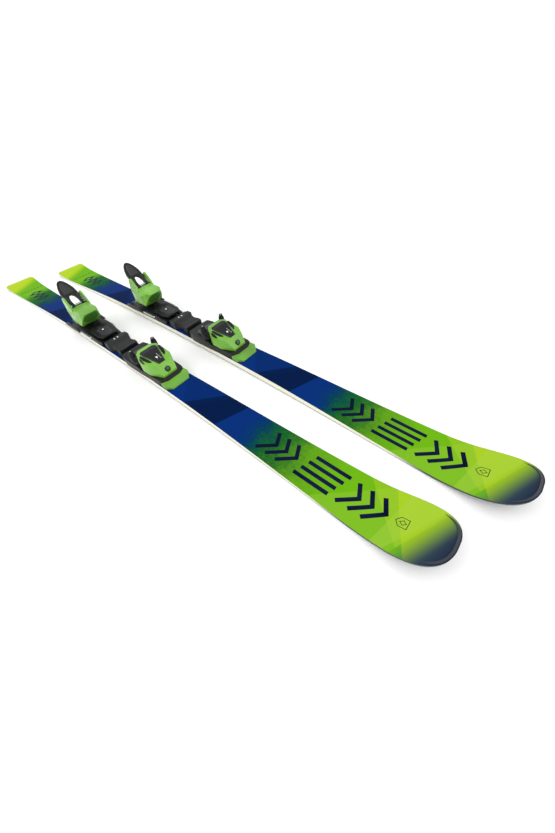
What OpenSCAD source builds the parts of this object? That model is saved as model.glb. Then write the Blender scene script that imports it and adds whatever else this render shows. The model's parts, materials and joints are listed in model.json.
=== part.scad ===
// Pair of alpine carving skis with rail bindings, lying flat on the floor, tips toward +X.
// Every piece is drawn in its own ski's frame: x from mid-ski toward the tip, y from the
// ski's centre line, z up from the floor. The left ski is at +Y and the right ski at -Y.

/* [Ski] */
// Length of each ski
ski_len = 1700; // [1500:10:1850]
// Full width at the widest place behind the tip
front_w = 118; // [105:1:130]
// Full width at the waist
waist_w = 72; // [64:1:90]
// Full width at the tail
tail_w = 102; // [90:1:120]
// Height of the flat binding platform above the floor
platform_z = 18.5; // [15:0.5:22]
// Rise of the running base at the middle of the unloaded ski
camber = 3; // [0:0.5:6]
// Rise of the tip
tip_rise = 46; // [15:1:60]
// Rise of the tail
tail_rise = 8; // [0:1:15]
// Thickness at tip and tail
end_thick = 6.5; // [5:0.5:9]
// Distance between the centre lines of the two skis
ski_gap = 179; // [150:1:300]
// How far the left ski lies ahead of the right ski
stagger = 74; // [0:1:120]

/* [Binding] */
// Half width of the flange that both carriages slide on
flange_half = 23.5; // [20:0.5:26]
// Height of the boot sole's support above the floor
sole_z = 44; // [43:0.1:46]
// Radius of the brake wire
wire_r = 2.5; // [2:0.1:3]
// Distance of a brake arm from the ski's centre line
arm_y = 41; // [41:0.1:44]
// Angle of the closed heel lever above the horizontal
lever_tilt = 41; // [30:1:50]

/* [Hidden] */
$fn = 48;
sides = ["left", "right"];
lap = 1;
far = 400;

// Ski outline and side view
waist_u = 0.424;
wide_u = 0.95;
tip_u = 0.95;
tail_corner = 13.5;
edge_w = 2.2;
edge_h = 2;
wall_w = 6;
sheet_t = 0.9;
tail_cap = 8;
platform_u = [0.285, 0.64];
contact_u = [0.05, 0.9];

// Rail plate
foot_half = 18;
foot_z = platform_z + 3;
flange_z = foot_z + 4;
rail_gap = 0.3;
rear_rail = [-350, -128];
front_rail = [-42.5, 139];
link_half = 11;
screw_xs = [-338, -240, -140, -10, 60, 125];
screw_y = 11;
screw_r = 2.2;
screw_head_r = 4.4;

// Toe piece
toe_rear = -30;
toe_deck_z = 40.4;
shell_z = 35.9;
shell_x = 69;
pivot_x = 63;
pivot_y = 22;
pin_r = 3;
pin_z = [34.5, 74.8];
fit = 0.05;
wing_z = [42, 69.4];
wing_notch_z = 53;
knob_top_z = 84;
brow_z = [70, 77];
toe_axis_z = 48.9;
roof_bend = [80, 77];
roof_front = [126, 63];
roof_tilt = atan((roof_bend[1] - roof_front[1]) / (roof_front[0] - roof_bend[0]));
toe_mark_x = 106;
afd_x = [0, 39];
afd_half = 27;
afd_travel = 5;
tongue_x = [16, 26];
tongue_z = 37;

// Heel piece
heel_front = -140;
deck_z = 36;
axle = [-278, 44];
axle_r = 3.5;
post_half = 11.8;
lever_pivot = [-264, 100];
lever_root_half = 18;
arm_in = 23.3;
arm_out = 29;
heel_axis_z = 70;
brake_x = -190;
brake_z = 32;
crank = 22;
crank_y = 19;
bar_x = brake_x + crank;
pad_under_z = 40.8;
arm_end = -268;
bend_swell = 0.02;

// ---- formulas for the ski's outline ----
function along(u) = (u - 0.5) * ski_len;
function ease(t) = t * t * (3 - 2 * t);
function clamp01(t) = max(0, min(1, t));
function side_half(u) = u < waist_u
    ? waist_w / 2 + (tail_w - waist_w) / 2 * pow((waist_u - u) / (waist_u - 0.03), 2)
    : waist_w / 2 + (front_w - waist_w) / 2 * pow((u - waist_u) / (wide_u - waist_u), 2);
function tip_half(t) = side_half(tip_u) * pow(max(0, 1 - pow(t, 2.9)), 1 / 2.55);
tail_half = side_half(0.006);
tip_shares = [0.2, 0.38, 0.54, 0.67, 0.78, 0.87, 0.93, 0.97];
half_outline = concat(
    [for (a = [0:22.5:90]) [along(0) + tail_corner * (1 - cos(a)), tail_half - tail_corner * (1 - sin(a))]],
    [for (i = [1:18]) let (u = 0.02 + (tip_u - 0.02) * i / 18) [along(u), side_half(u)]],
    [for (t = tip_shares) [along(tip_u + (1 - tip_u) * t), tip_half(t)]]);
tip_point = [[along(1), 0]];
function flip(points) = [for (i = [len(points) - 1:-1:0]) [points[i][0], -points[i][1]]];
outline = concat(half_outline, tip_point, flip(half_outline));
function inset_point(i, d) = let (
    n = len(outline),
    run = outline[(i + 1) % n] - outline[(i + n - 1) % n],
    unit = run / norm(run)) outline[i] + d * [unit[1], -unit[0]];
function inset(d) = [for (i = [0:len(outline) - 1]) inset_point(i, d)];

// ---- formulas for the ski's side view ----
mid_u = (contact_u[0] + contact_u[1]) / 2;
span_u = contact_u[1] - contact_u[0];
function base_z(u) = u < contact_u[0] ? tail_rise * pow((contact_u[0] - u) / contact_u[0], 2)
    : u > contact_u[1] ? tip_rise * pow((u - contact_u[1]) / (1 - contact_u[1]), 2)
    : camber * (1 + cos(360 * (u - mid_u) / span_u)) / 2;
function end_share(u) = u < platform_u[0] ? ease(clamp01((platform_u[0] - u) / (platform_u[0] - 0.02)))
    : ease(clamp01((u - platform_u[1]) / (0.94 - platform_u[1])));
function top_z(u) = u >= platform_u[0] && u <= platform_u[1] ? platform_z
    : base_z(u) + end_share(u) * end_thick
        + (1 - end_share(u)) * (platform_z - base_z(u < mid_u ? platform_u[0] : platform_u[1]));
stations = concat(
    [-0.002, 0.012, 0.03, contact_u[0]],
    [for (i = [1:6]) contact_u[0] + (platform_u[0] - contact_u[0]) * i / 6],
    [0.37, 0.455, 0.54],
    [for (i = [0:8]) platform_u[1] + (contact_u[1] - platform_u[1]) * i / 8],
    [for (i = [1:7]) contact_u[1] + (1.002 - contact_u[1]) * i / 7]);
last = len(stations) - 1;

module side_band(low, high) {
    rotate([90, 0, 0])
        linear_extrude(200, center = true)
            polygon(concat(
                [for (i = [0:last]) [along(stations[i]), low[i]]],
                [for (i = [last:-1:0]) [along(stations[i]), high[i]]]));
}

under = [for (u = stations) base_z(u)];
above_base = [for (u = stations) base_z(u) + edge_h];
under_sheet = [for (u = stations) top_z(u) - sheet_t];
over = [for (u = stations) top_z(u)];

module plan(d) {
    translate([0, 0, -lap])
        linear_extrude(100)
            polygon(inset(d));
}

module layer(low, high, d) {
    intersection() {
        side_band(low, high);
        plan(d);
    }
}

module plate_screw_holes() {
    for (x = screw_xs, s = [-1, 1])
        translate([x, s * screw_y, 8])
            cylinder(h = 30, r = screw_r);
}

module tail_room() {
    translate([along(0) - lap, -far, -lap])
        cube([tail_cap + lap, 2 * far, 60]);
}

// ---- the ski itself ----
module running_base() {
    color("#16181b")
        layer(under, above_base, edge_w);
}

module steel_edges() {
    color("#a9adb0")
        difference() {
            layer(under, above_base, 0);
            plan(edge_w);
            translate([along(0) - lap, -tail_half + 2 * tail_corner, -lap])
                cube([tail_corner, 2 * tail_half - 4 * tail_corner, 30]);
        }
}

module wood_core() {
    color("#c79b62")
        difference() {
            layer(above_base, under_sheet, wall_w);
            tail_room();
            plate_screw_holes();
        }
}

module sidewalls() {
    color("#e6e2cc")
        difference() {
            layer(above_base, under_sheet, 0);
            plan(wall_w);
            tail_room();
        }
}

module tail_protector() {
    color("#3a3d3f")
        intersection() {
            layer(above_base, under_sheet, 0);
            tail_room();
        }
}

module topsheet() {
    color("#1c4fa0")
        difference() {
            layer(under_sheet, over, 0);
            plate_screw_holes();
        }
}

// ---- rail plate ----
// A bar along X: from x0 to x1, half as wide as "half" each side, from z0 to z1
module bar(x0, x1, half, z0, z1) {
    translate([x0, -half, z0])
        cube([x1 - x0, 2 * half, z1 - z0]);
}

// A flat outline drawn for +Y and mirrored, from z0 to z1
module mirrored_plan(points, z0, z1) {
    translate([0, 0, z0])
        linear_extrude(z1 - z0)
            polygon(concat(points, flip(points)));
}

// An outline drawn in the X-Z plane, from -half to +half across the ski
module side_view(points, half) {
    rotate([90, 0, 0])
        linear_extrude(2 * half, center = true)
            polygon(points);
}

// An outline drawn in the Y-Z plane for +Y and mirrored, from x0 to x1
module front_view(points, x0, x1) {
    left = [for (i = [len(points) - 1:-1:0]) [-points[i][0], points[i][1]]];
    translate([x0, 0, 0])
        rotate([90, 0, 90])
            linear_extrude(x1 - x0)
                polygon(concat(points, left));
}

// A round bar along X
module rod_x(x0, x1, z, r) {
    translate([x0, 0, z])
        rotate([0, 90, 0])
            cylinder(h = x1 - x0, r = r);
}

// A round bar along Y, centred on the ski's centre line
module rod_y(x, z, half, r) {
    translate([x, half, z])
        rotate([90, 0, 0])
            cylinder(h = 2 * half, r = r);
}

module rail(ends) {
    bar(ends[0], ends[1], foot_half, platform_z, foot_z);
    bar(ends[0], ends[1], flange_half, foot_z, flange_z);
}

// The room a carriage leaves for the rail it slides on
module rail_room(x0, x1) {
    bar(x0, x1, foot_half + rail_gap, platform_z - lap, foot_z + lap);
    bar(x0, x1, flange_half + rail_gap, foot_z - rail_gap, flange_z + rail_gap);
}

module rail_plate() {
    color("#1b1c1e")
        difference() {
            union() {
                rail(rear_rail);
                rail(front_rail);
                bar(rear_rail[1] - lap, front_rail[0] + lap, link_half, platform_z, foot_z);
            }
            plate_screw_holes();
            for (x = screw_xs, s = [-1, 1])
                translate([x, s * screw_y, flange_z - 2.5])
                    cylinder(h = 5, r = screw_head_r);
        }
}

module plate_screws() {
    color("#8d9194")
        for (x = screw_xs, s = [-1, 1])
            translate([x, s * screw_y, 0])
                difference() {
                    union() {
                        translate([0, 0, 8])
                            cylinder(h = flange_z - 8 - 1, r = screw_r);
                        translate([0, 0, flange_z - 2.5])
                            cylinder(h = 2.3, r = screw_head_r);
                    }
                    for (a = [0, 90])
                        rotate([0, 0, a])
                            translate([-3, -0.5, flange_z - 1.4])
                                cube([6, 1, 2]);
                }
}

module centre_band() {
    color("#202124")
        difference() {
            intersection() {
                side_view([[-127, 19], [-127, 36], [-116, 39], [-111, 43], [-96, 43], [-78, 39.5],
                    [-52, 38.5], [-46, 39.5], [-43, 38.5], [-43, 19]], 50);
                mirrored_plan([[-127, 29], [-120, 32], [-96, 34], [-60, 30], [-43, 28]], 0, 60);
            }
            for (s = [-1, 1])
                translate([-72, s * 56, 0])
                    cylinder(h = 60, r = 31);
            bar(-140, 0, link_half + rail_gap, 0, foot_z + rail_gap);
            for (s = [-1, 1])
                translate([-110, s * 5.5 - 2, 41])
                    cube([9, 4, 5]);
        }
}

module front_trim() {
    color("#7cc42e")
        difference() {
            intersection() {
                side_view([[148, 18.6], [148, 30], [168, 30], [181, 21], [181, 18.6]], 60);
                mirrored_plan([[148, 36.2], [166, 37], [181, 25]], 0, 60);
            }
            mirrored_plan([[140, 40], [149.6, 35.4], [155, 24.6], [158, 20.6]], 0, 60);
        }
}

// ---- toe piece ----
toe_plan = [[toe_rear, 28], [toe_rear + 10, 36], [toe_rear + 26, 39.5], [20, 40], [60, 39.5],
    [100, 38], [140, 36], [149, 34.8], [154.4, 24], [157.4, 20]];

module toe_base() {
    color("#1d1e20")
        difference() {
            intersection() {
                mirrored_plan(toe_plan, 18.8, 60);
                side_view([[toe_rear, 18.8], [toe_rear, 36], [toe_rear + 7, toe_deck_z], [66, toe_deck_z],
                    [shell_x, shell_z - 0.3], [146, shell_z - 0.3], [157.4, 28], [157.4, 18.8]], 60);
            }
            rail_room(toe_rear - lap, 153);
            bar(tongue_x[0] - rail_gap, tongue_x[1] + rail_gap, 8 + afd_travel + 0.4,
                tongue_z - rail_gap, 60);
            for (s = [-1, 1])
                translate([pivot_x, s * pivot_y, pin_z[0]])
                    cylinder(h = 20, r = pin_r);
        }
}

module afd_plate() {
    color("#2a2c2f") {
        intersection() {
            bar(afd_x[0], afd_x[1], afd_half, toe_deck_z + 0.2, sole_z);
            mirrored_plan([[afd_x[0], 20], [afd_x[0] + 6, afd_half], [afd_x[1] - 3, afd_half],
                [afd_x[1], 24]], 0, 60);
        }
        bar(tongue_x[0], tongue_x[1], 8, tongue_z, toe_deck_z + lap);
    }
}

module insert_shape() {
    intersection() {
        side_view([[66, 75], [66, 77.6], [80.1, 77.6], [126, 63.6], [125.2, 61], [79.8, 75]], 30);
        mirrored_plan([[66, 18], [72, 24], [84, 23], [126, 9.5]], 0, 90);
    }
}

// Room for the setting mark, in the sloping roof above the spring
module mark_room(size, low, high) {
    translate([toe_mark_x, 0, roof_bend[1] - (toe_mark_x - roof_bend[0]) * tan(roof_tilt)])
        rotate([0, roof_tilt, 0])
            translate([-size[0] / 2, -size[1] / 2, low])
                cube([size[0], size[1], high - low]);
}

pocket_plan = [[77, 25.8], [100, 19.9], [105, 20.5], [101, 25.5], [87, 29.6], [79, 29.8]];

module toe_housing() {
    color("#84cf3c")
        difference() {
            union() {
                intersection() {
                    side_view([[shell_x, shell_z], [shell_x, brow_z[1]], roof_bend, roof_front, [131, 59],
                        [147, 41], [147, shell_z]], 60);
                    mirrored_plan([[68, 31], [76, 35.5], [88, 39], [100, 38.5], [114, 34.5], [130, 27.5],
                        [148, 20]], 0, 90);
                    front_view([[36, 35], [39, 42], [39, 57], [31, 75], [28, 78]], 50, 170);
                }
                mirrored_plan([[54, 18.5], [66, 31], [71, 31]], brow_z[0], brow_z[1]);
            }
            insert_shape();
            mark_room([16, 5.2], -4.4, 6);
            for (s = [0, 1])
                mirror([0, s, 0])
                    translate([0, 0, 60])
                        linear_extrude(50)
                            polygon(pocket_plan);
            rod_x(72, 121, toe_axis_z, 10.3);
            rod_x(100, 160, toe_axis_z, pin_r + fit);
            rod_x(137, 170, toe_axis_z, 7.6);
            for (s = [-1, 1])
                translate([pivot_x, s * pivot_y, 60])
                    cylinder(h = pin_z[1] - 60 + 0.2, r = pin_r);
        }
}

module toe_insert() {
    color("#222326")
        difference() {
            insert_shape();
            mark_room([16, 5.2], -4.4, 6);
        }
}

module toe_indicator() {
    color("#e9ecec")
        mark_room([5, 4.4], -4, 0.4);
}

module toe_pins() {
    color("#9a9ea1")
        for (s = [-1, 1])
            translate([pivot_x, s * pivot_y, pin_z[0]])
                cylinder(h = pin_z[1] - pin_z[0], r = pin_r);
}

module toe_wing(s) {
    color("#1d1e20")
        translate([pivot_x, s * pivot_y, 0])
            mirror([0, s < 0 ? 1 : 0, 0])
                difference() {
                    union() {
                        translate([0, 0, wing_z[0]])
                            cylinder(h = wing_z[1] - wing_z[0], r = 5.6);
                        translate([0, 0, wing_z[0]])
                            linear_extrude(wing_z[1] - wing_z[0])
                                polygon([[0, 5.6], [-6, 13.2], [-17, 14], [-20.5, 10.5], [-9, -2.5],
                                    [-3.5, -4.2], [0, -5.6]]);
                        translate([-14, 12, wing_z[0] + 8])
                            cylinder(h = knob_top_z - wing_z[0] - 8, r = 5);
                    }
                    translate([0, 0, 20])
                        cylinder(h = 60, r = pin_r + fit);
                    translate([-30, -12, wing_notch_z])
                        rotate([0, 0, 40])
                            cube([16, 40, 12]);
                }
}

// A turned body with a coil's wavy outline, along X
module coil(x0, x1, z, r_in, r_out, turns) {
    pitch = (x1 - x0) / turns;
    translate([x0, 0, z])
        rotate([0, 90, 0])
            rotate_extrude()
                polygon(concat(
                    [[r_in, 0]],
                    [for (i = [0:turns - 1]) each [[r_out - 1.6, i * pitch], [r_out, (i + 0.35) * pitch],
                        [r_out, (i + 0.65) * pitch]]],
                    [[r_out - 1.6, x1 - x0], [r_in, x1 - x0]]));
}

module toe_spring() {
    color("#b9bdc0")
        coil(74, 116, toe_axis_z, 4, 9.4, 8);
}

module cross_screw(x0, x1, z, shaft_r, head_r, head_x, slot_dir) {
    difference() {
        union() {
            rod_x(x0, x1, z, shaft_r);
            rod_x(head_x[0], head_x[1], z, head_r);
        }
        for (a = [0, 90])
            translate([slot_dir > 0 ? head_x[1] : head_x[0], 0, z])
                rotate([a, 0, 0])
                    cube([3, 1.6, head_r * 1.3], center = true);
    }
}

module toe_screw() {
    color("#55595c")
        cross_screw(78, 141, toe_axis_z, pin_r, 6.6, [137.4, 142], 1);
}

// ---- heel piece ----
heel_plan = [[-322, 24], [-312, 34], [-290, 36.4], [-180, 36.4], [heel_front, 33]];

module heel_base() {
    color("#1d1e20")
        difference() {
            union() {
                intersection() {
                    mirrored_plan(heel_plan, 18.8, 60);
                    side_view([[-322, 18.8], [-322, 27], [-306, deck_z], [-176, deck_z], [-168, 32],
                        [heel_front, 30], [heel_front, 18.8]], 60);
                }
                side_view([[axle[0] - 8, deck_z - lap], [axle[0] - 8, axle[1]], [axle[0] + 8, axle[1]],
                    [axle[0] + 8, deck_z - lap]], post_half);
                rod_y(axle[0], axle[1], post_half, 8);
            }
            rail_room(-330, -120);
            bar(brake_x - 11, -120, 24.2, 0, 60);
            rod_y(axle[0], axle[1], 40, axle_r);
            rod_y(brake_x, brake_z, 40, wire_r + fit);
        }
}

// The cup's two cheeks, which rise beside the lever and hold its axle
module lever_cheeks() {
    difference() {
        side_view([[-252, 84], [-250, 96], [-258, 110], [-270, 124], [-277, 126], [-282, 120], [-292, 92],
            [-288, 80]], arm_out);
        bar(-330, -230, arm_in, 0, 140);
    }
}

cup_plan = [[-299, 24], [-288, 31], [-264, 33.5], [-240, 33.5], [-216, 28], [-201, 19]];

module heel_housing() {
    color("#7cc832")
        difference() {
            union() {
                intersection() {
                    side_view([[-292, 44], [-298, 58], [-298, 78], [-289, 90], [-272, 97], [-250, 99.5],
                        [-218, 97.5], [-205, 94], [-202, 91], [-229, 56], [-241, 45], [-252, 44]], 60);
                    mirrored_plan(cup_plan, 0, 120);
                    front_view([[27, 42], [33, 54], [33.5, 82], [26, 96], [18, 100]], -310, -195);
                }
                lever_cheeks();
            }
            // room for the post, and for its foot as the housing swings up
            rod_y(axle[0], axle[1], post_half + 0.5, 9.5);
            bar(-300, axle[0] + 9.5, post_half + 0.5, 20, axle[1]);
            rod_y(axle[0], axle[1], 40, axle_r + fit);
            rod_y(lever_pivot[0], lever_pivot[1], 40, pin_r);
            // the lever's root lies in a trough across the top
            rod_y(lever_pivot[0], lever_pivot[1], arm_in, 7.6);
            bar(lever_pivot[0] - 7.6, lever_pivot[0] + 7.6, arm_in, lever_pivot[1], 140);
            rod_x(-266, -230, heel_axis_z, 9);
            rod_x(-300, -260, heel_axis_z, 2.5 + fit);
            rod_x(-305, -291, heel_axis_z, 5.5);
        }
}

lever_half = [[5, 17], [-6, lever_root_half], [-26, 22.6], [-46, 21.4], [-62, 16], [-72, 10], [-77, 4]];
lever_window = [[9, 10.5], [-14, 10.5], [-25, 7.5], [-31, 2.5]];

module heel_lever() {
    color("#232427")
        translate([lever_pivot[0], 0, lever_pivot[1]])
            rotate([0, lever_tilt, 0])
                difference() {
                    union() {
                        mirrored_plan(lever_half, -4.5, 4.5);
                        rod_y(0, 0, lever_root_half, 6.4);
                    }
                    mirrored_plan(lever_window, -20, 20);
                    rod_y(0, 0, 40, pin_r + fit);
                }
}

module heel_axle() {
    color("#9a9ea1")
        rod_y(axle[0], axle[1], 31, axle_r);
}

module lever_axle() {
    color("#b9bdc0")
        rod_y(lever_pivot[0], lever_pivot[1], 29.6, pin_r);
}

module heel_spring() {
    color("#b9bdc0")
        coil(-263, -231, heel_axis_z, 3.4, 8.6, 6);
}

module heel_screw() {
    color("#2f3235")
        cross_screw(-295, -266, heel_axis_z, 2.5, 5.2, [-298, -293.5], -1);
}

// One straight stretch of wire from a to b, both in the wire's plane
module wire_run(a, b) {
    step = b - a;
    translate([a[0], a[1], brake_z])
        rotate([0, 0, atan2(step[1], step[0])])
            rotate([0, 90, 0])
                cylinder(h = norm(step), r = wire_r);
}

module wire_bend(place) {
    translate([place[0], place[1], brake_z])
        sphere(r = wire_r + bend_swell);
}

module brake_wire() {
    color("#c2c6c9")
        for (s = [-1, 1]) {
            wire_run([bar_x, 0], [bar_x, s * crank_y]);
            wire_run([bar_x, s * crank_y], [brake_x, s * crank_y]);
            wire_run([brake_x, s * crank_y], [brake_x, s * arm_y]);
            wire_run([brake_x, s * arm_y], [arm_end, s * arm_y]);
            wire_bend([bar_x, s * crank_y]);
            wire_bend([brake_x, s * crank_y]);
            wire_bend([brake_x, s * arm_y]);
        }
}

module brake_tips() {
    color("#1d1e20")
        for (s = [-1, 1])
            difference() {
                translate([0, s * (arm_y + 0.6), brake_z])
                    side_view([[-246, -2.8], [-246, 3.2], [-262, 5.2], [-318, 4.8], [-338, -0.2],
                        [-334, -4.6], [-300, -5.8]], 3.4);
                wire_run([-240, s * arm_y], [arm_end, s * arm_y]);
            }
}

module brake_pedal() {
    color("#303336")
        difference() {
            union() {
                mirrored_plan([[-206, 21], [-198, 29], [-154, 29.5], [-134, 22]], pad_under_z, sole_z);
                for (s = [-1, 1])
                    translate([bar_x - 5.5, s * 10 - 4, brake_z - 3.6])
                        cube([11, 8, pad_under_z - brake_z + 4.1]);
            }
            rod_y(bar_x, brake_z, 30, wire_r + fit);
        }
}

pieces = ["running_base", "steel_edges", "wood_core", "sidewalls", "topsheet", "tail_protector",
    "rail_plate", "plate_screws", "centre_band", "front_trim",
    "toe_base", "afd_plate", "toe_housing", "toe_insert", "toe_indicator", "toe_pins", "toe_spring",
    "toe_screw", "toe_wing_left", "toe_wing_right",
    "heel_base", "heel_housing", "heel_lever", "heel_axle", "lever_axle", "heel_spring", "heel_screw",
    "brake_wire", "brake_tips", "brake_pedal"];
NODES = [for (side = sides, piece = pieces) str(side, "_", piece)];
node = "all";

function wanted(side, piece) = node == "all" || node == str(side, "_", piece);

for (side = sides)
    translate((side == "left" ? 0.5 : -0.5) * [stagger, ski_gap, 0]) {
        if (wanted(side, "running_base")) running_base();
        if (wanted(side, "steel_edges")) steel_edges();
        if (wanted(side, "wood_core")) wood_core();
        if (wanted(side, "sidewalls")) sidewalls();
        if (wanted(side, "topsheet")) topsheet();
        if (wanted(side, "tail_protector")) tail_protector();
        if (wanted(side, "rail_plate")) rail_plate();
        if (wanted(side, "plate_screws")) plate_screws();
        if (wanted(side, "centre_band")) centre_band();
        if (wanted(side, "front_trim")) front_trim();
        if (wanted(side, "toe_base")) toe_base();
        if (wanted(side, "afd_plate")) afd_plate();
        if (wanted(side, "toe_housing")) toe_housing();
        if (wanted(side, "toe_insert")) toe_insert();
        if (wanted(side, "toe_indicator")) toe_indicator();
        if (wanted(side, "toe_pins")) toe_pins();
        if (wanted(side, "toe_spring")) toe_spring();
        if (wanted(side, "toe_screw")) toe_screw();
        if (wanted(side, "toe_wing_left")) toe_wing(1);
        if (wanted(side, "toe_wing_right")) toe_wing(-1);
        if (wanted(side, "heel_base")) heel_base();
        if (wanted(side, "heel_housing")) heel_housing();
        if (wanted(side, "heel_lever")) heel_lever();
        if (wanted(side, "heel_axle")) heel_axle();
        if (wanted(side, "lever_axle")) lever_axle();
        if (wanted(side, "heel_spring")) heel_spring();
        if (wanted(side, "heel_screw")) heel_screw();
        if (wanted(side, "brake_wire")) brake_wire();
        if (wanted(side, "brake_tips")) brake_tips();
        if (wanted(side, "brake_pedal")) brake_pedal();
    }
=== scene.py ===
"""Looks for the pair of alpine skis with rail bindings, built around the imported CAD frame, in metres."""
import json
import math

import bmesh
import bpy
from mathutils import Matrix, Vector


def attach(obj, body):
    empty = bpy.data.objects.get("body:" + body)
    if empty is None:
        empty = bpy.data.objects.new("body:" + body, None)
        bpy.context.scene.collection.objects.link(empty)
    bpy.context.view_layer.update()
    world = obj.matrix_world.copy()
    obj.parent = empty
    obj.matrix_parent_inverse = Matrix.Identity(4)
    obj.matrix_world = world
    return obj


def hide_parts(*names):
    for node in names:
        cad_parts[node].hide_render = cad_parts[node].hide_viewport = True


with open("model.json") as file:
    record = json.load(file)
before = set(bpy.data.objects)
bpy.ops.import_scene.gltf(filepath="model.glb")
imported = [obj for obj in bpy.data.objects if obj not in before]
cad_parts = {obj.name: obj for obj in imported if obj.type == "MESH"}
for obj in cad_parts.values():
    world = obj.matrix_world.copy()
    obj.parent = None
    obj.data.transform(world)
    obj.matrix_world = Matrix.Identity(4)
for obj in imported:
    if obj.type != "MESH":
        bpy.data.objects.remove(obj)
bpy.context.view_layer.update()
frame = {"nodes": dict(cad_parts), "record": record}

# where each ski's own middle stands
SIDES = {"left": Vector((0.037, 0.0895, 0)), "right": Vector((-0.037, -0.0895, 0))}

# ---- camera: where it stands in metres, its turns in radians, its lens in millimetres ----
CAMERA_PLACE = Vector((0.721, -0.357, 0.552))
CAMERA_AZIMUTH = 2.332
CAMERA_DOWN = 0.870
CAMERA_ROLL = -0.104
CAMERA_LENS = 13.44
CAMERA_SENSOR = 36.0


def make_camera():
    """The camera, turned from its azimuth, its dip below level and its roll."""
    forward = Vector((
        math.cos(CAMERA_DOWN) * math.cos(CAMERA_AZIMUTH),
        math.cos(CAMERA_DOWN) * math.sin(CAMERA_AZIMUTH),
        -math.sin(CAMERA_DOWN)))
    level = forward.cross(Vector((0, 0, 1))).normalized()
    upward = level.cross(forward)
    right = math.cos(CAMERA_ROLL) * level + math.sin(CAMERA_ROLL) * upward
    up = -math.sin(CAMERA_ROLL) * level + math.cos(CAMERA_ROLL) * upward
    data = bpy.data.cameras.new("camera")
    data.lens = CAMERA_LENS
    data.sensor_width = CAMERA_SENSOR
    data.clip_start = 0.01
    camera = bpy.data.objects.new("camera", data)
    turn = Matrix((right, up, -forward)).transposed().to_4x4()
    camera.matrix_world = Matrix.Translation(CAMERA_PLACE) @ turn
    bpy.context.scene.collection.objects.link(camera)
    bpy.context.scene.camera = camera


# ---- shader helpers ----
class Graph:
    """A material's node tree, with short calls for the nodes the finishes below use."""

    def __init__(self, name):
        self.material = bpy.data.materials.new(name)
        self.material.use_nodes = True
        self.nodes = self.material.node_tree.nodes
        self.links = self.material.node_tree.links
        self.shader = self.nodes["Principled BSDF"]
        self.coords = self.nodes.new("ShaderNodeTexCoord").outputs["Object"]

    def feed(self, value, socket):
        """Link a node's output to the socket, or set a plain number or colour on it."""
        if isinstance(value, bpy.types.NodeSocket):
            self.links.new(value, socket)
        else:
            socket.default_value = value

    def math(self, kind, a, b=0.0):
        node = self.nodes.new("ShaderNodeMath")
        node.operation = kind
        self.feed(a, node.inputs[0])
        self.feed(b, node.inputs[1])
        return node.outputs[0]

    def mix(self, share, a, b):
        node = self.nodes.new("ShaderNodeMix")
        node.data_type = "RGBA"
        self.feed(share, node.inputs["Factor"])
        self.feed(a, node.inputs["A"])
        self.feed(b, node.inputs["B"])
        return node.outputs["Result"]

    def span(self, value, low, high, out_low=0.0, out_high=1.0, smooth=False):
        """Stretch the range low to high over out_low to out_high."""
        node = self.nodes.new("ShaderNodeMapRange")
        node.interpolation_type = "SMOOTHSTEP" if smooth else "LINEAR"
        for name, number in (("Value", value), ("From Min", low), ("From Max", high),
                             ("To Min", out_low), ("To Max", out_high)):
            self.feed(number, node.inputs[name])
        return node.outputs["Result"]

    def noise(self, scale, detail=2.0, stretch=(1, 1, 1), vector=None):
        node = self.nodes.new("ShaderNodeTexNoise")
        node.inputs["Scale"].default_value = scale
        node.inputs["Detail"].default_value = detail
        place = self.nodes.new("ShaderNodeMapping")
        place.inputs["Scale"].default_value = stretch
        self.feed(vector or self.coords, place.inputs["Vector"])
        self.links.new(place.outputs[0], node.inputs["Vector"])
        return node.outputs["Fac"]

    def cells(self, scale):
        node = self.nodes.new("ShaderNodeTexVoronoi")
        node.inputs["Scale"].default_value = scale
        self.links.new(self.coords, node.inputs["Vector"])
        return node.outputs["Distance"]

    def bump(self, height, strength, distance=0.0004):
        node = self.nodes.new("ShaderNodeBump")
        node.inputs["Strength"].default_value = strength
        node.inputs["Distance"].default_value = distance
        self.feed(height, node.inputs["Height"])
        self.links.new(node.outputs["Normal"], self.shader.inputs["Normal"])

    def split(self):
        """The x, y and z of the point being shaded."""
        node = self.nodes.new("ShaderNodeSeparateXYZ")
        self.links.new(self.coords, node.inputs[0])
        return node.outputs[0], node.outputs[1], node.outputs[2]

    def put(self, name, value):
        self.feed(value, self.shader.inputs[name])


def hexa(code):
    """Linear colour from a six-digit sRGB code."""
    parts = [int(code[i:i + 2], 16) / 255 for i in (0, 2, 4)]
    return tuple(p / 12.92 if p <= 0.04045 else ((p + 0.055) / 1.055) ** 2.4 for p in parts) + (1.0,)


def toned(colour, factor, lift=0.0):
    """The same colour, darker or paler."""
    return tuple(min(1, c * factor + lift) for c in colour[:3]) + (1,)


# ---- finishes ----
def moulded(name, colour, roughness, grain=900, depth=0.25, coat=0.0, shine=0.45):
    """Moulded plastic: faint colour drift, fine grain in the gloss and in the surface."""
    g = Graph(name)
    drift = g.span(g.noise(14, 3), 0.3, 0.7)
    g.put("Base Color", g.mix(drift, toned(colour, 0.80), toned(colour, 1.22, 0.004)))
    g.put("Roughness", g.span(g.noise(60, 4), 0.25, 0.75, roughness - 0.06, roughness + 0.08))
    g.shader.inputs["Coat Weight"].default_value = coat
    g.shader.inputs["Coat Roughness"].default_value = 0.12
    g.shader.inputs["Specular IOR Level"].default_value = shine
    g.bump(g.cells(grain), depth, 0.0002)
    return g.material


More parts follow.
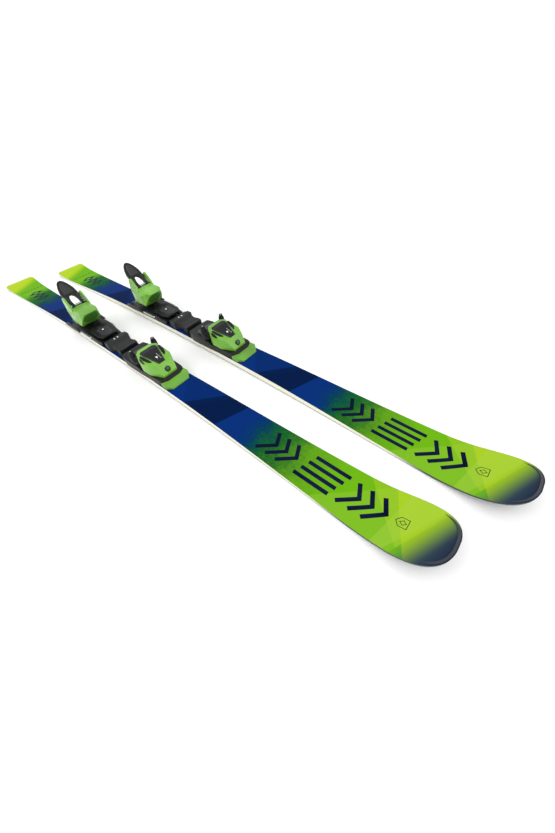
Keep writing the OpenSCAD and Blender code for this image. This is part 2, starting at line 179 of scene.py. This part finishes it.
def metal(name, colour, roughness, stretch=(1, 40, 40)):
    """Drawn or brushed metal: lines along X in the gloss, small dull patches."""
    g = Graph(name)
    lines = g.noise(90, 4, stretch)
    g.put("Base Color", g.mix(g.span(lines, 0.35, 0.65), toned(colour, 0.82), colour))
    g.shader.inputs["Metallic"].default_value = 1.0
    g.put("Roughness", g.span(lines, 0.2, 0.8, roughness - 0.08, roughness + 0.12))
    g.bump(lines, 0.12, 0.0002)
    return g.material


def wood(name):
    """Wood strips that run down the ski."""
    g = Graph(name)
    rings = g.noise(18, 5, (1, 14, 14))
    g.put("Base Color", g.mix(g.span(rings, 0.35, 0.65), hexa("8d6236"), hexa("cfa56b")))
    g.put("Roughness", g.span(rings, 0.3, 0.7, 0.45, 0.65))
    g.bump(rings, 0.2)
    return g.material


# ---- the printed sheet ----
LIME = hexa("66a814")
LIME_DEEP = hexa("548e1a")
LIME_PALE = hexa("9cc040")
YELLOW = hexa("a9c42a")
LEAF = hexa("155a24")
TEAL = hexa("073a4a")
ROYAL = hexa("082c6e")
NAVY = hexa("07204f")
INK = hexa("05142f")
SLATE = hexa("2e3c4c")
TIP_LIME = hexa("90b814")
TIP_DARK = hexa("202b40")
DOT = 0.0045
PRINT_EDGE = 0.0006

# fades down the ski: where each starts, where it ends, and the colour it brings
TAIL_FADES = ((-0.72, -0.64, LEAF), (-0.62, -0.57, TEAL), (-0.59, -0.53, ROYAL))
FRONT_FADES = ((0.40, 0.455, TEAL), (0.43, 0.49, LEAF), (0.48, 0.58, LIME_DEEP), (0.53, 0.66, LIME))
# slanting facets: start, its lean, end, its lean, colour, strength
BLUE_FACETS = ((-0.47, 0.6, -0.40, -0.9, INK, 0.75), (-0.42, -0.7, -0.33, 0.5, NAVY, 0.7),
               (-0.30, 0.4, -0.10, 0.8, NAVY, 0.6), (0.27, 0.9, 0.36, 0.35, INK, 0.8),
               (0.20, -0.8, 0.29, 0.9, NAVY, 0.35))
TIP_FACETS = ((0.665, 1.1, 0.80, 0.5, LIME_PALE, 0.22), (0.735, -0.9, 0.80, 0.5, YELLOW, 0.3),
              (0.75, 0.2, 0.792, 0.55, LIME_PALE, 0.35))


def dotted_x(g, x, y):
    """x moved about by a small random amount in each square dot, so that a fade along it breaks into dots."""
    join = g.nodes.new("ShaderNodeCombineXYZ")
    for axis, value in enumerate((x, y)):
        square = g.math("MULTIPLY", g.math("FLOOR", g.math("DIVIDE", value, DOT)), DOT)
        g.links.new(square, join.inputs[axis])
    scatter = g.span(g.noise(160, 1, vector=join.outputs[0]), 0.25, 0.75, -0.5, 0.5)
    cloud = g.span(g.noise(22, 2, vector=join.outputs[0]), 0.3, 0.7, -0.5, 0.5)
    shift = g.math("ADD", g.math("MULTIPLY", scatter, 0.028), g.math("MULTIPLY", cloud, 0.03))
    return g.math("ADD", x, shift)


def topsheet_finish():
    """Printed sheet: lime ends, blue middle, dotted fades and slanting facets."""
    g = Graph("printed_topsheet")
    x, y, _ = g.split()
    fade_x = dotted_x(g, x, y)

    def slant(offset, lean):
        """How far a point lies ahead of a line across the ski that leans with y."""
        return g.math("SUBTRACT", x, g.math("ADD", g.math("MULTIPLY", y, lean), offset))

    def add_fades(colour, fades):
        for start, end, tone in fades:
            colour = g.mix(g.span(fade_x, start, end, smooth=True), colour, tone)
        return colour

    def add_facets(colour, facets):
        for start, start_lean, end, end_lean, tone, strength in facets:
            after = g.span(slant(start, start_lean), -PRINT_EDGE, PRINT_EDGE)
            before = g.span(slant(end, end_lean), PRINT_EDGE, -PRINT_EDGE)
            share = g.math("MULTIPLY", g.math("MULTIPLY", after, before), strength)
            colour = g.mix(share, colour, tone)
        return colour

    # yellow corner at the tail, then lime
    colour = g.mix(g.span(slant(-0.80, -0.5), -0.02, 0.03, smooth=True), YELLOW, LIME)
    colour = add_fades(colour, TAIL_FADES)
    colour = add_facets(colour, BLUE_FACETS)
    colour = add_fades(colour, FRONT_FADES)
    # a yellower field ahead of a slanting line, and the dark tip
    colour = g.mix(g.span(slant(0.764, -0.5), -PRINT_EDGE, PRINT_EDGE), colour, TIP_LIME)
    colour = add_facets(colour, TIP_FACETS)
    colour = g.mix(g.span(slant(0.79, 0.45), 0.0, 0.05, smooth=True), colour, SLATE)
    colour = g.mix(g.span(slant(0.825, 0.3), 0.0, 0.03, smooth=True), colour, TIP_DARK)
    g.put("Base Color", colour)
    g.put("Roughness", g.span(g.noise(35, 3), 0.3, 0.7, 0.16, 0.26))
    g.shader.inputs["Specular IOR Level"].default_value = 0.005
    g.bump(g.noise(240, 2), 0.03, 0.0002)
    return g.material


def sidewall_finish():
    """Pale side wall, turning dark where the tip's cap takes over."""
    g = Graph("side_wall")
    x, _, _ = g.split()
    lines = g.noise(30, 3, (1, 60, 60))
    pale = g.mix(g.span(lines, 0.35, 0.65), hexa("d9d6bd"), hexa("f1efe0"))
    g.put("Base Color", g.mix(g.span(x, 0.60, 0.70, smooth=True), pale, hexa("20242a")))
    g.put("Roughness", g.span(lines, 0.3, 0.7, 0.38, 0.5))
    g.bump(lines, 0.1)
    return g.material


# ---- every finish ----
# by the record's material slots
FINISHES = {
    "base_black": moulded("sintered_base", hexa("101214"), 0.42, 2500, 0.08),
    "edge_steel": metal("ground_steel", hexa("b9bcbf"), 0.32),
    "core_wood": wood("laminated_wood"),
    "sidewall_cream": sidewall_finish(),
    "topsheet": topsheet_finish(),
    "tail_cap": moulded("tail_cap_dark", hexa("2c3034"), 0.4),
    "rail_black": moulded("rail_black", hexa("17181a"), 0.42, shine=0.2),
    "screw_steel": metal("zinc_steel", hexa("9a9da0"), 0.35),
    "band_black": moulded("band_black", hexa("18191a"), 0.45, shine=0.2),
    "trim_green": moulded("trim_green", hexa("5f9a28"), 0.42, 1400, 0.15),
    "binding_black": moulded("binding_black", hexa("141516"), 0.4, shine=0.2),
    "glide_grey": moulded("glide_grey", hexa("26282a"), 0.3, 2500, 0.05),
    "toe_green": moulded("shell_green", hexa("6aa82e"), 0.28, 1600, 0.1, 0.15),
    "insert_black": moulded("insert_black", hexa("161719"), 0.36, shine=0.2),
    "mark_white": moulded("mark_white", hexa("e4e8e8"), 0.4, 2500, 0.05),
    "pin_steel": metal("pin_steel", hexa("b4b8bc"), 0.25),
    "spring_steel": metal("spring_steel", hexa("8f9498"), 0.3),
    "screw_dark": metal("dark_screw", hexa("54585c"), 0.35),
    "heel_green": moulded("heel_green", hexa("6cab30"), 0.24, 1600, 0.06, 0.3),
    "lever_black": moulded("lever_black", hexa("1b1c1d"), 0.32, shine=0.2),
    "wire_bright": metal("bright_wire", hexa("d2d5d8"), 0.18, (1, 8, 8)),
    "pedal_grey": moulded("pedal_grey", hexa("1c1e1f"), 0.5, shine=0.2),
}

# for pieces that are drawn only here
PRINT_INK = moulded("print_ink", hexa("0a1430"), 0.3, 2500, 0.03, shine=0.01)
# painted shade: a darker green laid on the heel cup's front face, which the light leaves in shade
FACE_SHADE_GREEN = moulded("heel_face_shade_green", hexa("3a6e22"), 0.35, 1600, 0.1, 0.1)
TREAD_GREY = moulded("tread_grey", hexa("2e3132"), 0.5, shine=0.2)
RIM_GREY = moulded("rim_grey", hexa("3c3f43"), 0.35, shine=0.2)
# painted highlight: a paler grey for the lever's facets, where light catches them
HIGHLIGHT_GREY = moulded("lever_highlight_grey", hexa("303231"), 0.3, shine=0.3)
PRINT_WHITE = moulded("print_white", hexa("e6eaea"), 0.4, 2500, 0.05)

SLOT_OF = {part["node"]: part["material_slot"] for part in frame["record"]["subparts"]}

# how far the moulded edges of each CAD piece are rounded off
ROUNDING = {
    "heel_housing": 0.0018, "toe_housing": 0.0018, "heel_lever": 0.0014, "centre_band": 0.0014,
    "toe_base": 0.0012, "heel_base": 0.0012, "front_trim": 0.0009, "toe_wing_left": 0.0009,
    "toe_wing_right": 0.0009, "brake_tips": 0.0008, "brake_pedal": 0.0008, "afd_plate": 0.0005,
    "rail_plate": 0.0005,
}


def round_edges(obj, width):
    bevel = obj.modifiers.new("rounded_edges", "BEVEL")
    bevel.width = width
    bevel.segments = 3
    bevel.limit_method = "ANGLE"
    bevel.angle_limit = math.radians(24)


def dress_cad_nodes():
    """Give every CAD node its finish, and round the edges of the moulded ones."""
    for name, obj in frame["nodes"].items():
        finish = FINISHES[SLOT_OF[name]]
        if not obj.data.materials:
            obj.data.materials.append(finish)
        for entry in obj.material_slots:
            entry.material = finish
        piece = name.split("_", 1)[1]
        if piece in ROUNDING:
            round_edges(obj, ROUNDING[piece])


# ---- mesh helpers ----
def new_object(name, mesh, place):
    obj = bpy.data.objects.new(name, mesh)
    obj.location = place
    bpy.context.scene.collection.objects.link(obj)
    return obj


def make_mesh(name, points, faces, sharp=35):
    """A clean smooth-shaded mesh, with hard edges where faces meet at more than sharp degrees."""
    mesh = bpy.data.meshes.new(name)
    mesh.from_pydata(points, [], faces)
    work = bmesh.new()
    work.from_mesh(mesh)
    bmesh.ops.remove_doubles(work, verts=work.verts, dist=1e-6)
    bmesh.ops.recalc_face_normals(work, faces=work.faces)
    work.to_mesh(mesh)
    work.free()
    for face in mesh.polygons:
        face.use_smooth = True
    mesh.set_sharp_from_angle(angle=math.radians(sharp))
    return mesh


def place_on_both(name, mesh, finish, body, replaced=()):
    """One piece on each ski, sharing a mesh drawn in the ski's own frame; finish is a slot or a material."""
    mesh.materials.append(FINISHES[finish] if finish in FINISHES else finish)
    for side, place in SIDES.items():
        piece = new_object(f"{side}_{name}", mesh, place)
        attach(piece, f"{side}_{body}")
        if replaced:
            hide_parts(*[f"{side}_{node}" for node in replaced])


# ---- the ski's shape, as in the CAD ----
LENGTH = 1.7
WAIST, FRONT, TAIL = 0.072, 0.118, 0.102
WAIST_U, WIDE_U, TIP_U = 0.424, 0.95, 0.95
CORNER = 0.0135
PLATFORM = 0.0185
CAMBER, TIP_RISE, TAIL_RISE = 0.003, 0.046, 0.008
END_THICK = 0.0065
PLATFORM_U = (0.285, 0.64)
CONTACT_U = (0.05, 0.9)
MID_U = sum(CONTACT_U) / 2
SPAN_U = CONTACT_U[1] - CONTACT_U[0]
EDGE_W, EDGE_H = 0.0022, 0.002
WALL_W = 0.006
SHEET = 0.0009


def along(u):
    return (u - 0.5) * LENGTH


def share_of(x):
    return min(1.0, max(0.0, x / LENGTH + 0.5))


def side_half(u):
    if u < WAIST_U:
        return WAIST / 2 + (TAIL - WAIST) / 2 * ((WAIST_U - u) / (WAIST_U - 0.03)) ** 2
    return WAIST / 2 + (FRONT - WAIST) / 2 * ((u - WAIST_U) / (WIDE_U - WAIST_U)) ** 2


TAIL_HALF = side_half(0.006)


def half_at(x):
    """Half the ski's width at x."""
    u = share_of(x)
    start = x - along(0)
    if start < CORNER:
        return TAIL_HALF - CORNER + math.sqrt(max(0, CORNER ** 2 - (CORNER - start) ** 2))
    if u > TIP_U:
        t = (u - TIP_U) / (1 - TIP_U)
        return side_half(TIP_U) * max(0.0, 1 - t ** 2.9) ** (1 / 2.55)
    return side_half(u)


def ease(t):
    t = min(1.0, max(0.0, t))
    return t * t * (3 - 2 * t)


def base_z(u):
    if u < CONTACT_U[0]:
        return TAIL_RISE * ((CONTACT_U[0] - u) / CONTACT_U[0]) ** 2
    if u > CONTACT_U[1]:
        return TIP_RISE * ((u - CONTACT_U[1]) / (1 - CONTACT_U[1])) ** 2
    return CAMBER * (1 + math.cos(2 * math.pi * (u - MID_U) / SPAN_U)) / 2


def top_z(u):
    if PLATFORM_U[0] <= u <= PLATFORM_U[1]:
        return PLATFORM
    if u < PLATFORM_U[0]:
        end = ease((PLATFORM_U[0] - u) / (PLATFORM_U[0] - 0.02))
        middle = PLATFORM - base_z(PLATFORM_U[0])
    else:
        end = ease((u - PLATFORM_U[1]) / (0.94 - PLATFORM_U[1]))
        middle = PLATFORM - base_z(PLATFORM_U[1])
    return base_z(u) + end * END_THICK + (1 - end) * middle


def stations():
    """x values down the ski, closer together where the outline turns."""
    corner = [along(0) + CORNER * (1 - math.cos(math.radians(a))) for a in range(0, 90, 15)]
    middle = [along(0.008 + (TIP_U - 0.008) * i / 260) for i in range(261)]
    tip = [along(TIP_U + (1 - TIP_U) * math.sin(math.radians(a))) for a in range(4, 91, 3)]
    return corner + middle + tip + [along(1)]


XS = stations()


def outline(inset):
    """Closed outline of the ski, moved inward by inset."""
    half = [(x, half_at(x)) for x in XS]
    loop = half + [(x, -y) for x, y in reversed(half) if y > 1e-7]
    points = []
    for i, (x, y) in enumerate(loop):
        ax, ay = loop[i - 1]
        bx, by = loop[(i + 1) % len(loop)]
        run = math.hypot(bx - ax, by - ay)
        points.append((x + inset * (by - ay) / run, y - inset * (bx - ax) / run))
    return points


def ring_mesh(name, outer, inner, low, high):
    """A band that follows the ski's outline, between two insets and two height formulas."""
    big, small = outline(outer), outline(inner)
    count = len(big)
    points = []
    for (bx, by), (sx, sy) in zip(big, small):
        u = share_of(bx)
        for x, y, z in ((bx, by, low(u)), (bx, by, high(u)), (sx, sy, high(u)), (sx, sy, low(u))):
            points.append((x, y, z))
    faces = []
    for i in range(count):
        j = (i + 1) % count
        for k in range(4):
            m = (k + 1) % 4
            faces.append((4 * i + k, 4 * i + m, 4 * j + m, 4 * j + k))
    return make_mesh(name, points, faces)


def plate_mesh(name, inset, low, high, across=14, rim=0.0):
    """A plate with the ski's outline, its top face a fine grid; rim rounds its upper edge down."""
    points, faces = [], []
    columns = across + 1
    for x in XS:
        half = max(0.0, half_at(x) - inset)
        x_in = min(max(x, along(0) + inset), along(1) - inset)
        u = share_of(x_in)
        for k in range(columns):
            v = math.sin(math.pi * (k / across - 0.5))
            drop = rim * max(0.0, (abs(v) - 0.97) / 0.03)
            points.append((x_in, half * v, high(u) - drop))
        for k in range(columns):
            v = math.sin(math.pi * (k / across - 0.5))
            points.append((x_in, half * v, low(u)))
    step = 2 * columns
    for i in range(len(XS) - 1):
        for k in range(across):
            top = i * step + k
            bottom = top + columns
            faces.append((top, top + step, top + step + 1, top + 1))
            faces.append((bottom, bottom + 1, bottom + step + 1, bottom + step))
        for k in (0, across):
            top = i * step + k
            faces.append((top, top + columns, top + columns + step, top + step))
    for k in range(across):
        faces.append((k, k + 1, k + 1 + columns, k + columns))
    return make_mesh(name, points, faces)


def sheet_low(u):
    return top_z(u) - SHEET


def edge_top(u):
    return base_z(u) + EDGE_H


def build_skis():
    """The visible layers of both skis, with finer steps than the CAD nodes they stand for."""
    place_on_both("printed_sheet", plate_mesh("printed_sheet", 0.0003, sheet_low, top_z, rim=0.0004),
                  "topsheet", "ski", ["topsheet"])
    place_on_both("side_walls", ring_mesh("side_walls", 0.0001, WALL_W, edge_top, sheet_low),
                  "sidewall_cream", "ski", ["sidewalls"])
    place_on_both("ground_edges", ring_mesh("ground_edges", 0.0, EDGE_W, base_z, edge_top),
                  "edge_steel", "ski", ["steel_edges"])
    place_on_both("sliding_base", plate_mesh("sliding_base", EDGE_W, base_z, edge_top),
                  "base_black", "ski", ["running_base"])


# ---- prints on the topsheet ----
PRINT_LIFT = 0.0001
STROKE_STEP = 0.005


def on_sheet(x, y):
    return (x, y, top_z(share_of(x)) + PRINT_LIFT)


def stroke_mesh(name, paths, width):
    """Flat printed strokes on the topsheet, with mitred turns. A path is (corners, whether it is closed)."""
    points, faces = [], []
    for path, closed in paths:
        fine = []
        count = len(path)
        for i in range(count if closed else count - 1):
            a, b = Vector(path[i]), Vector(path[(i + 1) % count])
            steps = max(1, int((b - a).length / STROKE_STEP))
            fine += [a + (b - a) * s / steps for s in range(steps)]
        if not closed:
            fine.append(Vector(path[-1]))
        total = len(fine)
        first = len(points)
        for i, point in enumerate(fine):
            before = fine[i - 1] if closed or i > 0 else point
            after = fine[(i + 1) % total] if closed or i < total - 1 else point
            run_b = (after - point).normalized()
            run_a = (point - before).normalized() if (point - before).length > 0 else run_b
            if (after - point).length == 0:
                run_b = run_a
            normal = Vector((-(run_a + run_b).y, (run_a + run_b).x)).normalized()
            reach = width / 2 / max(0.35, normal.dot(Vector((-run_a.y, run_a.x))))
            for side in (1, -1):
                spot = point + side * reach * normal
                points.append(on_sheet(spot.x, spot.y))
        for i in range(total if closed else total - 1):
            j = (i + 1) % total
            faces.append((first + 2 * i, first + 2 * i + 1, first + 2 * j + 1, first + 2 * j))
    return make_mesh(name, points, faces)


CHEVRON_STEP, CHEVRON_HALF, CHEVRON_REACH = 0.026, 0.029, 0.024
DASH_X, DASH_STEP, DASH_LONG = -0.742, 0.012, 0.006
LEAN = -0.35


def slanted(x, y):
    """The front prints lean: a point's x shifts with its y."""
    return (x - LEAN * y, y)


def chevron(x):
    """An arrow stroke that points to the tip."""
    corners = [slanted(x, CHEVRON_HALF), slanted(x + CHEVRON_REACH, 0), slanted(x, -CHEVRON_HALF)]
    return (corners, False)


def three_chevrons(x):
    return [chevron(x + CHEVRON_STEP * i) for i in range(3)]


def speed_line(x0, x1, y):
    return ([slanted(x0, y), slanted(x1, y)], False)


def diamond(x, reach, half):
    return ([(x - reach, 0), (x, half), (x + reach, 0), (x, -half)], True)


def add_print(name, paths, width):
    place_on_both(name, stroke_mesh(name, paths, width), PRINT_INK, "ski")


def build_graphics():
    """Plain prints: chevrons and lines in front, diamonds and dashes behind, a small mark near the tip."""
    front = three_chevrons(0.468)
    front += [speed_line(0.566, 0.646, y) for y in (-0.027, -0.009, 0.009, 0.027)]
    front += three_chevrons(0.664)
    add_print("front_stripes", front, 0.0085)
    add_print("rear_diamonds", [diamond(x, 0.012, 0.019) for x in (-0.695, -0.662, -0.629)], 0.0068)
    dash_starts = [-0.036 + DASH_STEP * i for i in range(7)]
    add_print("rear_dashes", [([(DASH_X, y), (DASH_X, y + DASH_LONG)], False) for y in dash_starts], 0.0048)
    shield = [(0.757, 0.0), (0.764, 0.009), (0.778, 0.009), (0.778, -0.009), (0.764, -0.009)]
    add_print("tip_crest", [(shield, True), diamond(0.7695, 0.0055, 0.0045)], 0.0011)


# ---- raised details on the bindings ----
MM = 0.001
ALONG, ACROSS, UPWARD = (1, 0, 0), (0, 1, 0), (0, 0, 1)
LEVER_TILT = math.radians(41)
# planes that the details lie in, in mm: a point, the drawing's first direction, its second direction
HEEL_FRONT = ((-215.5, 0, 73.5), (27, 0, 35), (0, -1, 0))
PAD_TOP = ((0, 0, 44), ALONG, ACROSS)
BAND_TOP = ((0, 0, 41), ALONG, ACROSS)
INLAY_TOP = ((80, 0, 77.6), (46, 0, -14), ACROSS)
TOE_ROOF = ((80, 0, 77), (46, 0, -14), ACROSS)
SCREW_END = ((142, 0, 48.9), ACROSS, UPWARD)
SHEET_TOP = ((0, 0, 18.5), ALONG, ACROSS)
LEVER_TOP = ((-264, 0, 100), (-math.cos(LEVER_TILT), 0, math.sin(LEVER_TILT)), (0, -1, 0))
# where each jaw's roller stands, and the signs of the two mirrored halves
JAW_X, JAW_Y = 49, 34
BOTH = (1, -1)


def slab_mesh(name, outlines, depth, plane, soften=0.35):
    """Thin raised plates: outlines drawn in a plane, in mm, with chamfered upper edges."""
    spot, run, across = plane
    run, across = Vector(run).normalized(), Vector(across).normalized()
    lift = run.cross(across)
    points, faces = [], []
    for outline_mm in outlines:
        first, count = len(points), len(outline_mm)
        middle = Vector((sum(p[0] for p in outline_mm) / count, sum(p[1] for p in outline_mm) / count))
        for inward, height in ((0.0, -0.4), (0.0, depth - soften), (soften, depth)):
            for corner in outline_mm:
                gap = Vector(corner) - middle
                flat = middle + gap * max(0.0, 1 - 1.4 * inward / gap.length)
                place = Vector(spot) + flat.x * run + flat.y * across + height * lift
                points.append(tuple(place * MM))
        for ring in range(2):
            for k in range(count):
                a, b = first + ring * count + k, first + ring * count + (k + 1) % count
                faces.append((a, b, b + count, a + count))
        faces.append(tuple(first + 2 * count + k for k in range(count)))
    return make_mesh(name, points, faces, sharp=20)


def turned_mesh(name, profile, spot, sides=24):
    """A turned piece standing on Z at spot, from (radius, height) pairs in mm that end on the axis."""
    points, faces = [], []
    for radius, height in profile:
        for i in range(sides):
            turn = 2 * math.pi * i / sides
            x = spot[0] + radius * math.cos(turn)
            y = spot[1] + radius * math.sin(turn)
            points.append((x * MM, y * MM, height * MM))
    for ring in range(len(profile) - 1):
        for i in range(sides):
            a, b = ring * sides + i, ring * sides + (i + 1) % sides
            faces.append((a, b, b + sides, a + sides))
    return make_mesh(name, points, faces, sharp=50)


def disc(x, y, radius, corners=20):
    turn = 2 * math.pi / corners
    return [(x + radius * math.cos(turn * i), y + radius * math.sin(turn * i)) for i in range(corners)]


def oblong(x0, x1, y0, y1):
    return [(x0, y0), (x1, y0), (x1, y1), (x0, y1)]


def add_slab(name, outlines, depth, plane, finish, body, soften=0.35):
    """Raised plates on both skis, riding on the body they lie on."""
    place_on_both(name, slab_mesh(name, outlines, depth, plane, soften), finish, body)


def build_heel_face_shade():
    """Painted shade: a darker green slab over the front face of the heel cup, which slants forward."""
    face = [(-22, -13), (-22, 13), (-6, 24.2), (12, 21.6), (20, 12), (20, -12), (12, -21.6), (-6, -24.2)]
    add_slab("heel_face_shade", [face], 0.7, HEEL_FRONT, FACE_SHADE_GREEN, "heel_cup")


def build_pad_marks():
    """The brake pad's tread and its marks."""
    tread = [(-195, 0), (-186, 17), (-146, 17), (-135, 0), (-146, -17), (-186, -17)]
    add_slab("pad_tread", [tread], 0.8, PAD_TOP, TREAD_GREY, "pedal")
    add_slab("pad_dot", [disc(-175, 0, 2.8)], 1.3, PAD_TOP, PRINT_WHITE, "pedal")
    arrow = [[(-203, 7 * s), (-200, 7 * s), (-197, 0), (-200, 0)] for s in BOTH]
    add_slab("pad_arrow", arrow, 0.4, PAD_TOP, TREAD_GREY, "pedal", 0.1)


def build_band_windows():
    """Two pale windows in the band between toe and heel."""
    windows = [oblong(-109.5, -101.5, 5.5 * s - 1.6, 5.5 * s + 1.6) for s in BOTH]
    add_slab("band_windows", windows, 1.4, BAND_TOP, PRINT_WHITE, "ski")


def build_toe_details():
    """The inlay's rims and setting scale, painted shade in black over the recesses beside it and down their
    sides, and the setting screw's face.
    """
    rims = [[(2, 20.6 * s), (2, 22.6 * s), (46, 9.4 * s), (46, 7.4 * s)] for s in BOTH]
    add_slab("insert_rims", rims, 0.8, INLAY_TOP, RIM_GREY, "toe_carriage")
    marks = [oblong(18.4 + 3.4 * i, 19.2 + 3.4 * i, 5.4, 8.0) for i in range(6)]
    add_slab("scale_marks", marks, 0.25, INLAY_TOP, PRINT_WHITE, "toe_carriage", 0.05)
    # painted shade: black plates, larger than the moulded recesses, stand in for the shade inside them
    pocket_shade = [(0, 27), (22, 20.4), (31, 18.8), (33, 21), (27, 27), (14, 31.6), (1, 31.2)]
    pocket_shades = [[(a, b * s) for a, b in pocket_shade] for s in BOTH]
    add_slab("toe_pocket_shades", pocket_shades, 1.2, TOE_ROOF, FINISHES["insert_black"], "toe_carriage", 0.3)
    # painted shade: black plates on the sloping sides carry the recesses' shade down the housing
    shoulder_shade = [(-9, 0.4), (2, 2.2), (12, 5.6), (15.5, 8), (9, 11), (-2, 10.5), (-9, 7)]
    for name, s in zip(("left", "right"), BOTH):
        flank_shade = [(s * a, b) for a, b in shoulder_shade]
        flank_plane = ((88, 31 * s, 75), (s, 0, 0), (0, 8 * s, -18))
        add_slab(f"flank_{name}", [flank_shade], 0.35, flank_plane, FINISHES["insert_black"], "toe_carriage", 0.1)
    add_slab("screw_face", [disc(0, 0, 4.6)], 0.4, SCREW_END, FINISHES["screw_steel"], "toe_adjuster")


def build_jaw_rollers():
    """The upright roller and its steel stud on each jaw."""
    roller = [(4.6, 49), (7.6, 56), (8.2, 66), (7.4, 76), (5.4, 80), (0, 80)]
    stud = [(2.6, 79), (3.4, 81), (3.2, 83), (1.6, 84.4), (0, 84.4)]
    for wing, s in zip(("left", "right"), BOTH):
        spot = (JAW_X, JAW_Y * s)
        place_on_both(f"roller_{wing}", turned_mesh(f"roller_{wing}", roller, spot), "binding_black",
                      f"wing_{wing}")
        place_on_both(f"stud_{wing}", turned_mesh(f"stud_{wing}", stud, spot), FINISHES["pin_steel"],
                      f"wing_{wing}")


def build_slide_strip():
    """A dark strip of the sheet, where the toe carriage's rear end slides."""
    strip = [(-60, 30), (-20, 34), (-20, -34), (-60, -30)]
    add_slab("slide_strip", [strip], 0.08, SHEET_TOP, FINISHES["band_black"], "ski", 0.02)


def build_lever_highlights():
    """Painted highlights: paler grey on the lever's facets, one at its end and one on each arm."""
    blade = [(34, -15), (34, 15), (58, 10.5), (70, 4), (70, -4), (58, -10.5)]
    arm = [(6, 13.4), (6, 16.6), (27, 20), (29, 17), (22, 13)]
    facets = [blade] + [[(a, b * s) for a, b in arm] for s in BOTH]
    add_slab("lever_highlights", facets, 5.7, LEVER_TOP, HIGHLIGHT_GREY, "lever", 1.2)


def build_binding_details():
    build_heel_face_shade()
    build_pad_marks()
    build_band_windows()
    build_toe_details()
    build_jaw_rollers()
    build_slide_strip()
    build_lever_highlights()


# ---- floor and light ----
FLOOR_REACH = 120
SURROUND_STRENGTH = 1.06


def build_stage():
    """A plain pale floor that reaches past the view."""
    g = Graph("pale_floor")
    g.put("Base Color", g.mix(g.span(g.noise(3, 2), 0.3, 0.7), (0.96, 0.96, 0.96, 1), (0.97, 0.97, 0.97, 1)))
    g.shader.inputs["Roughness"].default_value = 0.9
    g.bump(g.noise(40, 2), 0.02)
    mesh = bpy.data.meshes.new("floor")
    corners = [(a * FLOOR_REACH, b * FLOOR_REACH, 0) for a, b in ((-1, -1), (1, -1), (1, 1), (-1, 1))]
    mesh.from_pydata(corners, [], [(0, 1, 2, 3)])
    mesh.materials.append(g.material)
    floor = new_object("floor", mesh, (0, 0, 0))


def softbox(name, place, aim, size, power):
    """A soft rectangular lamp at place, turned to aim."""
    data = bpy.data.lights.new(name, "AREA")
    data.shape = "RECTANGLE"
    data.size, data.size_y = size
    data.energy = power
    light = bpy.data.objects.new(name, data)
    light.location = place
    light.rotation_euler = (Vector(aim) - Vector(place)).to_track_quat("-Z", "Y").to_euler()
    bpy.context.scene.collection.objects.link(light)


def build_light():
    """An even white surround and two softboxes."""
    world = bpy.data.worlds.new("studio")
    bpy.context.scene.world = world
    world.use_nodes = True
    background = world.node_tree.nodes["Background"]
    background.inputs["Color"].default_value = (1, 1, 1, 1)
    background.inputs["Strength"].default_value = SURROUND_STRENGTH
    softbox("key", (-0.6, -1.6, 2.4), (0, 0, 0), (2.4, 1.2), 20)
    softbox("fill", (1.8, 1.4, 2.0), (0.2, 0, 0), (1.6, 1.6), 8)
    bpy.context.scene.view_settings.view_transform = "Standard"


make_camera()
dress_cad_nodes()
build_skis()
build_graphics()
build_binding_details()
build_stage()
build_light()
